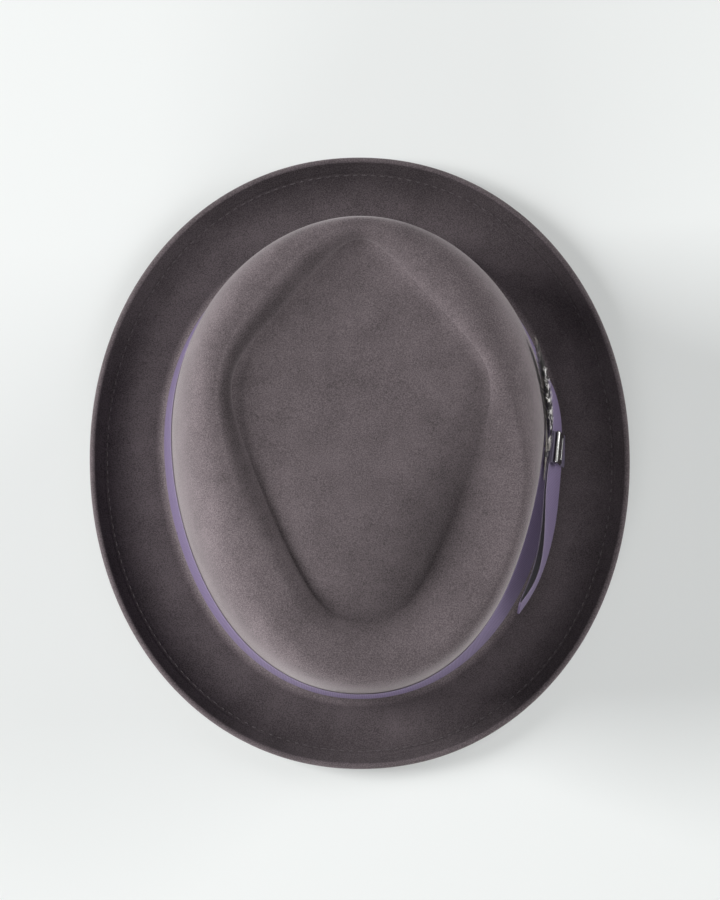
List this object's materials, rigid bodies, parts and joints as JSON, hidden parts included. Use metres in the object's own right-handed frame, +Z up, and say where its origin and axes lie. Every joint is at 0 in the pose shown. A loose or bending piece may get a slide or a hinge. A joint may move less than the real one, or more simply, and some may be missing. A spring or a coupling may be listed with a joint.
{
  "type": "fedora hat",
  "caption": "Stingy-brim felt fedora with a diamond-creased crown, ribbon and bow, plain metal badge, pull-out feather, sweatband and lining.",
  "frame": {"origin": "on the surface that the brim rests on, under the middle of the brim", "axes": "+Z up through the crown, +Y to the back of the hat, +X to the wearer's left, where the bow and feather are"},
  "size_m": [0.2494, 0.2834, 0.108],
  "materials": {
    "felt": "brushed wool felt, taupe grey",
    "felt_thread": "matt sewing thread",
    "ribbon": "ribbed grosgrain, grey lavender",
    "ribbon_thread": "matt sewing thread",
    "dark_metal": "gunmetal, satin face and polished chamfer",
    "sweat_leather": "smooth sheep leather",
    "reed": "smooth",
    "tape": "woven tape",
    "sweat_thread": "waxed thread",
    "lining_satin": "satin",
    "piping_satin": "satin cord",
    "clear_film": "clear film",
    "label_cloth": "plain woven tape, blank",
    "quill": "horn, smooth",
    "feather_dark": "feather barbs, dark grey",
    "feather_spotted": "feather barbs, pale spots on black",
    "down": "loose down, pale grey",
    "binding_thread": "wound thread"
  },
  "bodies": {
    "hat": {"felt_body": "felt", "welt_stitching": "felt_thread", "hatband": "ribbon", "hatband_tacks": "ribbon_thread", "bow_front_loop": "ribbon", "bow_rear_loop": "ribbon", "bow_knot": "ribbon", "badge_plate": "dark_metal", "badge_prongs": "dark_metal", "badge_washer": "dark_metal", "sweatband": "sweat_leather", "sweatband_reed": "reed", "reed_tape": "tape", "sweatband_stitching": "sweat_thread", "sweatband_bow": "tape", "lining_side": "lining_satin", "lining_tip": "lining_satin", "lining_piping": "piping_satin", "tip_shield": "clear_film", "size_label": "label_cloth"},
    "feather": {"feather_quill": "quill", "feather_vane": "feather_dark", "feather_hackle": "feather_spotted", "feather_down": "down", "feather_binding": "binding_thread"}
  },
  "joints": [
    {"name": "feather_pull", "type": "slide", "parent": "hat", "child": "feather", "axis": [0.0375, 0.7701, 0.6368], "range_m": [0, 0.028]}
  ]
}
